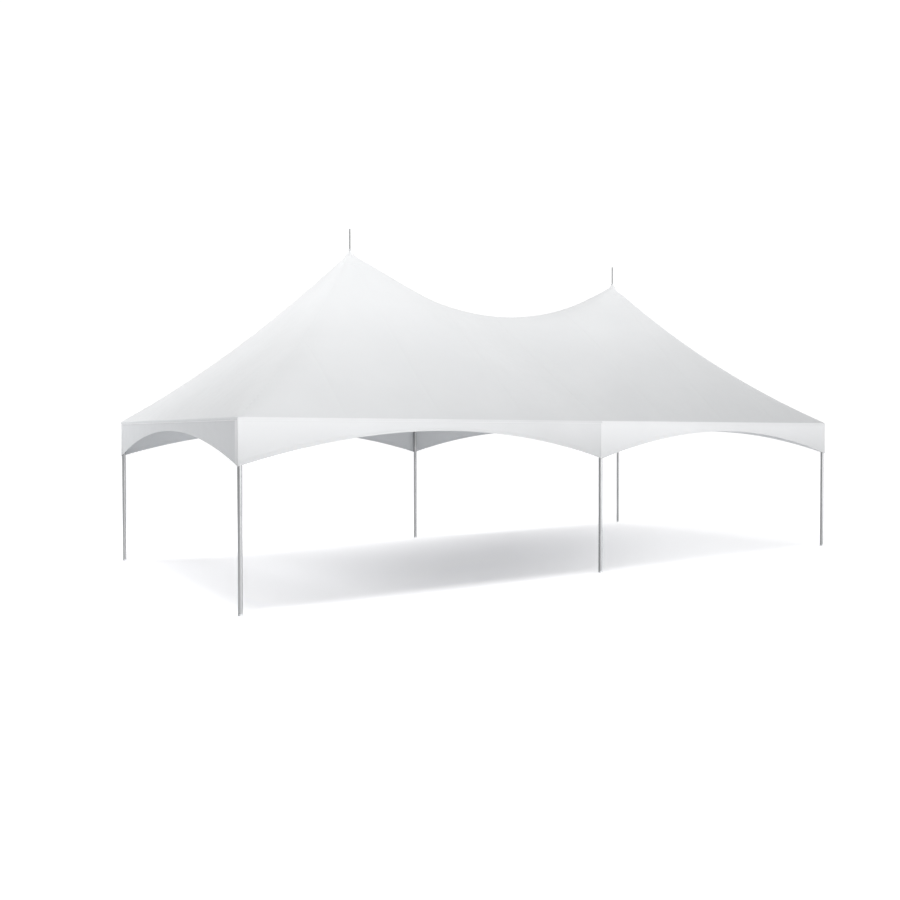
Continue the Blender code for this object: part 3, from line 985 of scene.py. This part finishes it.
def make_leg_head(leg):
    """Cast head of a leg: body, joints for the beams, lugs for the cables and the spring
    button of the spigot in the leg."""
    bm = bmesh.new()
    centre = LEGS[leg]
    foot_rim = HEAD_R + 0.0022
    add_turned(bm, [(0, HEAD_TOP), (HEAD_R - 0.004, HEAD_TOP), (HEAD_R, HEAD_TOP - 0.004),
                    (HEAD_R, HEAD_BOTTOM + 0.014), (foot_rim, HEAD_BOTTOM + 0.011),
                    (foot_rim, HEAD_BOTTOM + 0.002), (HEAD_R, HEAD_BOTTOM),
                    (0, HEAD_BOTTOM)], Matrix.Translation(centre), 48)
    for way in beam_ways(leg):
        add_beam_joint(bm, centre, way)
    add_button(bm, centre + UP * (HEAD_BOTTOM - 0.062),
               Vector((0, -math.copysign(1, centre.y), 0)))
    for cable_leg, bay in CABLES:
        if cable_leg == leg:
            place = along(*cable_line(leg, bay))
            add_plate(bm, eye(EYE_HALF, 0.020, HEAD_BOSS + PIN + EYE_HALF), EYE_THICK, place)
            add_turned(bm, [(0, 0.050), (0.011, 0.049), (0.016, 0.036), (0.019, 0.024),
                            (0, 0.020)], place, 20)
    head = mesh_object(f"leg_head_casting_{leg}", bm, CAST)
    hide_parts(f"leg_head_{leg}")


def make_foot_cap(leg):
    """Cast cap over the closed bottom of a leg."""
    inner, outer = TUBE_R + SNUG, TUBE_R + 0.0018
    bm = bmesh.new()
    add_turned(bm, [(inner, 0.026), (outer - 0.0006, 0.026), (outer, 0.0252), (outer, 0.006),
                    (outer + 0.001, 0.004), (outer + 0.001, 0.0012), (outer, 0.0004),
                    (inner, 0.0004)], Matrix.Translation(LEGS[leg]), 48)
    mesh_object(f"foot_cap_{leg}", bm, CAST)


def add_fork(bm, place):
    """Fork that a cable ends in. Its pin crosses at Z PIN."""
    gap, cheek = EYE_THICK / 2 + LOOSE, 0.004
    for side in (-1, 1):
        shift = Matrix.Translation((side * (gap + cheek / 2), 0, 0))
        add_plate(bm, eye(0.0105, 0.052, PIN - 0.0125), cheek, place @ shift, 0.0008)
    add_turned(bm, [(0, 0.043), (0.0095, 0.043), (0.0118, 0.047), (0.0118, 0.060),
                    (0.0085, 0.070), (0, 0.070)], place, 28)
    add_pin(bm, place @ up(PIN), 0.006, 2 * (gap + cheek))


def add_rope(bm, place, start, end):
    """Wire rope along Z: six strands laid round a core."""
    strand_r, ring_r = ROPE_R * 0.36, ROPE_R * 0.64
    count = round((end - start) / ROPE_LAY * 8)
    heights = [start + (end - start) * step / count for step in range(count + 1)]
    for turn in turns(6):
        add_sweep(bm, [place @ around(turn + 2 * math.pi * height / ROPE_LAY, ring_r, height)
                       for height in heights], strand_r, 5)
    core = ring_r * 0.75
    add_turned(bm, [(0, end), (core, end), (core, start), (0, start)], place, 6)


def make_cable(leg, bay):
    """Mast cable: the rope with its pressed ends, and the turnbuckle by the leg's head."""
    head, foot = cable_line(leg, bay)
    way = (foot - head).normalized()
    start, end = head + way * HEAD_BOSS, foot - way * FOOT_BOSS
    from_head, from_foot = along(start, end), along(end, start)
    near, far = TURNBUCKLE
    stud = far + 0.05
    name = leg if bay in leg else f"{leg}_to_{bay}"

    bm = bmesh.new()
    add_rope(bm, from_head, stud + 0.09, (end - start).length - 0.13)
    add_turned(bm, [(0, 0.095), (0.0060, 0.095), (0.0088, 0.088), (0.0088, 0.004),
                    (0.0070, 0), (0, 0)], from_head @ up(stud), 28)
    add_fork(bm, from_foot)
    add_turned(bm, [(0, 0.136), (0.0060, 0.136), (0.0088, 0.128), (0.0088, 0.066),
                    (0, 0.066)], from_foot, 28)
    rope = mesh_object(f"cable_rope_{name}", bm, STEEL)
    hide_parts(f"cable_{name}")

    bm = bmesh.new()
    add_fork(bm, from_head)
    add_turned(bm, threaded(0.066, near + 0.085, 0.006), from_head, 14)
    add_turned(bm, threaded(far - 0.085, stud + 0.004, 0.006), from_head, 14)
    for low in (near, far - 0.028):
        add_turned(bm, barrel(low, low + 0.028, 0.0145, 0.0125, 0.003), from_head, 28)
    for low in (near - 0.0085, far + 0.0015):
        add_turned(bm, barrel(low, low + 0.007, 0.0098, 0.0085, 0.0012), from_head, 6)
    for side in (-1, 1):
        middle = Matrix.Translation((side * 0.0115, 0, (near + far) / 2))
        add_block(bm, (0.0065, 0.013, far - near - 0.012), from_head @ middle, 0.002)
    mesh_object(f"turnbuckle_{name}", bm, ZINC)


def make_mast_foot(bay):
    """Hub that a mast stands in, with a plate for each of its four cables."""
    bm = bmesh.new()
    centre = Matrix.Translation(MASTS[bay])
    waist = FOOT_R - 0.0035
    add_turned(bm, [(0, FOOT_TOP), (FOOT_R - 0.003, FOOT_TOP), (FOOT_R, FOOT_TOP - 0.003),
                    (FOOT_R, FOOT_TOP - 0.013), (waist, FOOT_TOP - 0.016),
                    (waist, FOOT_BOTTOM + 0.016), (FOOT_R, FOOT_BOTTOM + 0.013),
                    (FOOT_R, FOOT_BOTTOM + 0.005), (waist, FOOT_BOTTOM), (0, FOOT_BOTTOM)],
               centre, 48)
    inner, outer = TUBE_R + LOOSE, TUBE_R + 0.0045
    add_turned(bm, [(inner, 0.045), (outer - 0.001, 0.045), (outer, 0.044), (outer, 0.004),
                    (outer + 0.004, -0.001), (inner, -0.001)], centre @ up(FOOT_TOP), 48)
    askew = Matrix.Rotation(math.pi / 4, 4, "Z")
    bolt = centre @ up(FOOT_TOP + 0.024) @ askew @ SIDEWAYS @ up(-outer)
    add_bolt(bm, bolt, 0.005, 2 * outer)
    add_turned(bm, barrel(FOOT_BOTTOM - 0.010, FOOT_BOTTOM + 0.001, 0.0140, 0.0125, 0.002),
               centre, 6)
    for leg, cable_bay in CABLES:
        if cable_bay == bay:
            head, foot = cable_line(leg, bay)
            add_plate(bm, eye(EYE_HALF, 0.030, FOOT_BOSS + PIN + EYE_HALF), EYE_THICK,
                      along(foot, head))
    hub = mesh_object(f"mast_hub_{bay}", bm, ZINC)
    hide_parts(f"mast_foot_{bay}")


# Ties

TIE_SPACING = 0.72
TIE_WIDTH = 0.025
TIE_STEPS = 36
TIE_LEAN = math.radians(-18)  # where a tie reaches out to the cloth
TIE_REACH = 0.0058        # how far it reaches there
TIE_END = 0.20            # from the middle or a corner of the tent to the ties' stretch

# Section of the strap: share of its width, height above the beam
STRAP = [(-0.5, 0.0012), (-0.47, 0.0006), (0.47, 0.0006), (0.5, 0.0012), (0.5, 0.0016),
         (0.47, 0.0022), (-0.47, 0.0022), (-0.5, 0.0016)]


def make_eave_ties(name, start, end, out):
    """Loops of strap that hold the cloth to an eave beam. out points away from the tent."""
    bm, cloth = cloth_mesh()
    stretch = end - start
    way = stretch.normalized()
    count = round(stretch.length / TIE_SPACING)
    for tie in range(count):
        middle = start + stretch * (tie + 0.5) / count
        rings = []
        for across, height in STRAP:
            ring = []
            for turn in turns(TIE_STEPS, TIE_LEAN):
                bulge = TIE_REACH * max(0, math.cos(turn - TIE_LEAN)) ** 24
                radius = TUBE_R + height + bulge
                ring.append(bm.verts.new(middle + way * TIE_WIDTH * across
                                         + out * radius * math.cos(turn)
                                         + UP * radius * math.sin(turn)))
            rings.append(ring)
        for face in bridge(bm, rings, closed=True):
            for loop in face.loops:
                loop[cloth].uv = (2 * loop.vert.co.z, (loop.vert.co - middle).dot(way))
    mesh_object(f"eave_ties_{name}", bm, WEBBING)


def make_all_ties():
    for side, y_sign in SIDES.items():
        for bay, x_sign in BAYS.items():
            start, end = [Vector((x_sign * x, y_sign * AXIS_Y, BEAM_Z))
                          for x in (TIE_END, AXIS_X - TIE_END)]
            make_eave_ties(f"{side}_{bay}", start, end, Vector((0, y_sign, 0)))
    for bay, x_sign in BAYS.items():
        start, end = [Vector((x_sign * AXIS_X, y, BEAM_Z))
                      for y in (TIE_END - AXIS_Y, AXIS_Y - TIE_END)]
        make_eave_ties(f"end_{bay}", start, end, Vector((x_sign, 0, 0)))


# Camera

FOCAL_PX, FRAME_PX = 891.52, 900
CENTRE_SHIFT_PX = 45      # how far the vanishing centre lies right of the middle
CAMERA_PLACE = (-9.9216, -13.9589, 2.2946)
YAW, PITCH = math.radians(35.429), math.radians(-1.074)


def make_camera():
    """The photograph's own view, fitted to the legs, eaves and peaks."""
    data = bpy.data.cameras.new("camera")
    data.sensor_width = 36.0
    data.lens = FOCAL_PX / FRAME_PX * data.sensor_width
    data.shift_x = -CENTRE_SHIFT_PX / FRAME_PX
    data.clip_end = 400
    camera = bpy.data.objects.new("camera", data)
    camera.location = CAMERA_PLACE
    camera.rotation_euler = (math.pi / 2 + PITCH, 0, -YAW)
    bpy.context.scene.collection.objects.link(camera)
    bpy.context.scene.camera = camera


# Floor

GLOW_NEAR = 0.04          # light that the floor gives off where its shade is deepest
GLOW_MID = 0.32           # at the rim of the shade
GLOW_FAR = 0.37           # and outside the tent
SHADE_CENTRE = (-2.3, -2.35, 0)
SHADE_REACH = (12.6, 3.97, 1)
SHADE_TURN = 41           # degrees from the tent's length to the shade's
SHADE_EDGE = (-0.53, 0.22)  # where the shade ends, measured out from the tent's outline
LAMPLIT_END = (-6.3, -4.0)  # X over which the lamps take over from the glow at the left


def make_floor():
    """Plain pale floor, far larger than the tent. Round the tent it glows like a lit studio
    sweep, so that it runs into the backdrop without a line. Under the tent its glow is cut
    back into a painted shadow, a long turned valley that fades out at the left end, where the
    lamps light the floor."""
    bm = bmesh.new()
    bmesh.ops.create_circle(bm, cap_ends=True, radius=120, segments=96)
    mesh = bpy.data.meshes.new("floor")
    bm.to_mesh(mesh)
    bm.free()
    material = bpy.data.materials.new("floor")
    made = Nodes(material)
    place = made.place()
    # Painted shadow: the glow is lowest along a valley under the tent and rises towards the
    # outline
    shade = made.add("ShaderNodeMapping", {
        "Vector": place, "Location": SHADE_CENTRE, "Scale": SHADE_REACH,
        "Rotation": (0, 0, math.radians(SHADE_TURN))}, vector_type="TEXTURE").outputs[0]
    away = made.vector("LENGTH", shade, result="Value")
    inner = made.math("MULTIPLY", made.soft(away, 0.0, 1.0, GLOW_NEAR, GLOW_MID),
                      made.soft(made.apart(place)["X"], *LAMPLIT_END))
    beyond = made.apart(made.vector("SUBTRACT", made.vector("ABSOLUTE", place),
                                    (2 * HALF, HALF, 0)))
    outside = made.soft(made.math("MAXIMUM", beyond["X"], beyond["Y"]), *SHADE_EDGE)
    made.set(Base_Color=made.blend(made.noise(place, 0.4), (0.925, 0.925, 0.94),
                                   (0.935, 0.935, 0.95)),
             Roughness=0.9, Specular_IOR_Level=0.1, Emission_Color=(1, 1, 1, 1),
             Emission_Strength=made.mix(outside, inner, GLOW_FAR))
    mesh.materials.append(material)
    floor = bpy.data.objects.new("floor", mesh)
    bpy.context.scene.collection.objects.link(floor)


# Light

CEILING = 0.72            # how strongly the studio's ceiling lights the tent
WALL_RIGHT = 1.5
WALL_LEFT = 0.04
RIGHTWARDS = (0.815, -0.580, 0)
BACKDROP = 1.05           # how bright the camera sees the studio

# Soft boxes: where each one is, where it points, its width and its power
LAMPS = {
    "high_back_left": ((-9.5, 5, 11), (-5, 0, 3.5), 4, 410),
    "low_back_left": ((-11, 6, 6), (-6, 1, 2.5), 3, 225),
    "over_left_peak": ((-4, -4, 13), (-3, 0, 4), 4, 325),
    "over_right_peak": ((2.8, -1.2, 8), (3, -0.6, 4.6), 1.6, 20),
    "front_left": ((-5.5, -6.5, 3.2), (-4.5, -3, 2.4), 1.5, 20),
    "front_middle": ((1.5, -6.5, 3.2), (1.5, -3, 2.4), 1.5, 9),
    "front_right": ((9, -12, 4), (3, -3, 2.4), 4, 60),
    "edge_right": ((4, -18, 2.2), (0, 0, 1.8), 26, 1300)}


def make_world():
    """White studio all round. Its walls light the tent more from the right than from
    the left, and the camera sees it pure white."""
    world = bpy.data.worlds.new("studio")
    bpy.context.scene.world = world
    made = Nodes(world, "Background")
    way = made.place("Generated")
    rightness = made.vector("DOT_PRODUCT", way, RIGHTWARDS, result="Value")
    walls = made.soft(rightness, -0.35, 0.35, WALL_LEFT, WALL_RIGHT)
    lit = made.mix(made.soft(made.apart(way)["Z"], 0.25, 0.65), walls, CEILING)
    seen = made.add("ShaderNodeLightPath").outputs["Is Camera Ray"]
    made.set(Color=(1, 1, 1, 1), Strength=made.mix(seen, lit, BACKDROP))


def add_lamp(name, place, aim, size, power):
    """Round soft box that shines from a place towards another."""
    lamp = bpy.data.lights.new(name, "AREA")
    lamp.shape = "DISK"
    lamp.size = size
    lamp.energy = power
    holder = bpy.data.objects.new(name, lamp)
    holder.location = place
    holder.rotation_euler = (Vector(place) - Vector(aim)).to_track_quat("Z", "Y").to_euler()
    holder.visible_camera = False
    bpy.context.scene.collection.objects.link(holder)
    return holder


def make_lights():
    """Soft boxes high on the left, which brighten the left peak, and weak ones that
    lift the right peak and the front. The long one on the right only shows in the
    metal, as the bright edge on the right of each leg."""
    holders = {name: add_lamp(name, *settings) for name, settings in LAMPS.items()}
    edge = holders["edge_right"]
    edge.data.shape = "RECTANGLE"
    edge.data.size_y = 5
    edge.visible_diffuse = False


make_camera()
roof = make_roof_sheet()
valances = [long_valance(side, bay) for side in SIDES for bay in BAYS]
valances += [end_valance(bay) for bay in BAYS]
piping = make_piping()
roof_surface = surface_of(roof)
make_seams(roof_surface)
make_webbing(roof_surface)
for bay in BAYS:
    make_boot(bay, roof_surface)
    make_spire(bay)
for leg in LEGS:
    make_leg_head(leg)
    make_foot_cap(leg)
for leg, bay in CABLES:
    make_cable(leg, bay)
for bay in BAYS:
    make_mast_foot(bay)
make_all_ties()
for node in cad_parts:
    is_tube = node.startswith(("beam_", "cross_beam_", "leg_", "mast_"))
    if is_tube and not node.startswith(("leg_head_", "mast_foot_")):
        make_tube(node)
make_floor()
make_world()
make_lights()
bpy.context.scene.view_settings.view_transform = "Standard"
